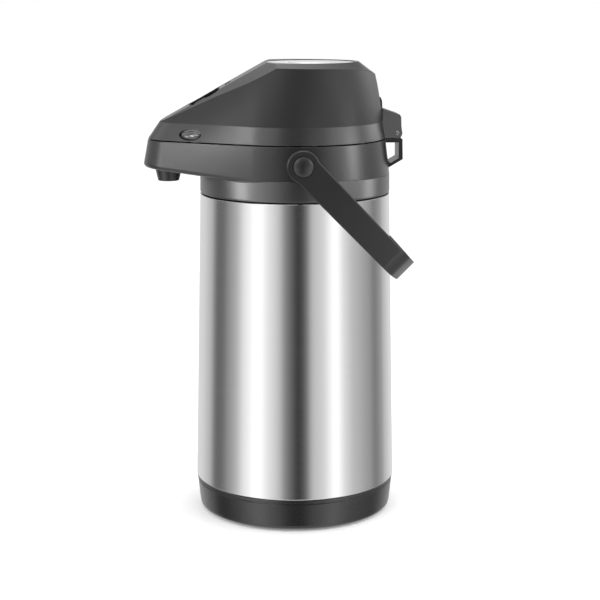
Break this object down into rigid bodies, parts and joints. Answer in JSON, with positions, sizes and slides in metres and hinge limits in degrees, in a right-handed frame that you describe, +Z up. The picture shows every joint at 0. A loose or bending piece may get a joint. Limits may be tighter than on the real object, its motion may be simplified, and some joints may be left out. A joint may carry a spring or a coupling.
{
  "type": "pump airpot",
  "caption": "Insulated pump airpot with a round steel body, a black pouring head with a hinged lid, a push button, a lock slider and a swinging carrying handle.",
  "frame": {"origin": "centre of the round base where it stands on the table", "axes": "+Z up, -X toward the pouring spout, Y along the line through the two handle pivots"},
  "size_m": [0.2284, 0.1822, 0.3754],
  "materials": {
    "brushed_steel": "satin, horizontal brushing",
    "plain_steel": "matt",
    "bright_steel": "polished",
    "satin_silver": "satin",
    "black_plastic": "fine moulded texture",
    "dark_grey_plastic": "fine moulded texture",
    "gloss_button": "semi-gloss",
    "light_plastic": "smooth",
    "silicone": "soft",
    "rubber": "matt"
  },
  "bodies": {
    "pot": {"outer_casing": "brushed_steel", "vacuum_base": "plain_steel", "inner_vessel": "plain_steel", "base_cover": "black_plastic", "base_screw_1": "plain_steel", "base_screw_2": "plain_steel", "base_screw_3": "plain_steel", "shoulder_collar": "black_plastic", "pour_housing": "black_plastic", "hinge_pin": "bright_steel", "pivot_cap_left": "black_plastic", "pivot_cap_right": "black_plastic", "stopper": "light_plastic", "stopper_gasket": "silicone", "chimney_gasket": "silicone", "dip_tube": "light_plastic", "spout_tube": "light_plastic", "nozzle": "black_plastic", "latch_catch_left": "black_plastic", "latch_catch_right": "black_plastic"},
    "foot": {"swivel_foot": "black_plastic", "foot_ring": "rubber", "hub_clip": "plain_steel", "hub_screw": "plain_steel"},
    "lid": {"lid_shell": "black_plastic", "top_panel": "black_plastic", "lock_well": "dark_grey_plastic", "crown_plate": "satin_silver", "lid_underplate": "dark_grey_plastic", "underplate_screw_1": "plain_steel", "underplate_screw_2": "plain_steel", "underplate_screw_3": "plain_steel", "underplate_screw_4": "plain_steel", "bellows": "silicone", "return_spring": "plain_steel"},
    "button": {"push_button": "dark_grey_plastic", "button_cap": "satin_silver", "air_valve": "silicone"},
    "lock": {"lock_slider": "dark_grey_plastic"},
    "release_left": {"release_button_left": "gloss_button"},
    "release_right": {"release_button_right": "gloss_button"},
    "handle": {"carry_handle": "black_plastic"}
  },
  "joints": [
    {"name": "foot_turn", "type": "hinge", "parent": "pot", "child": "foot", "pos_m": [0, 0, 0], "axis": [0, 0, 1], "continuous": true},
    {"name": "lid_hinge", "type": "hinge", "parent": "pot", "child": "lid", "pos_m": [0.0863, 0, 0.3146], "axis": [0, 1, 0], "range_deg": [0, 85]},
    {"name": "button_press", "type": "slide", "parent": "lid", "child": "button", "axis": [0, 0, -1], "range_m": [0, 0.018], "stiffness_N_per_m": 400, "springref_m": -0.004, "deforming": ["bellows", "return_spring"]},
    {"name": "lock_slide", "type": "slide", "parent": "lid", "child": "lock", "axis": [0.8736, 0, 0.4866], "range_m": [0, 0.008]},
    {"name": "release_left_press", "type": "slide", "parent": "lid", "child": "release_left", "axis": [0.5193, 0.8272, -0.2149], "range_m": [0, 0.002]},
    {"name": "release_right_press", "type": "slide", "parent": "lid", "child": "release_right", "axis": [0.5193, -0.8272, -0.2149], "range_m": [0, 0.002]},
    {"name": "handle_swing", "type": "hinge", "parent": "pot", "child": "handle", "pos_m": [0, 0, 0.295], "axis": [0, -1, 0], "range_deg": [0, 215]}
  ]
}
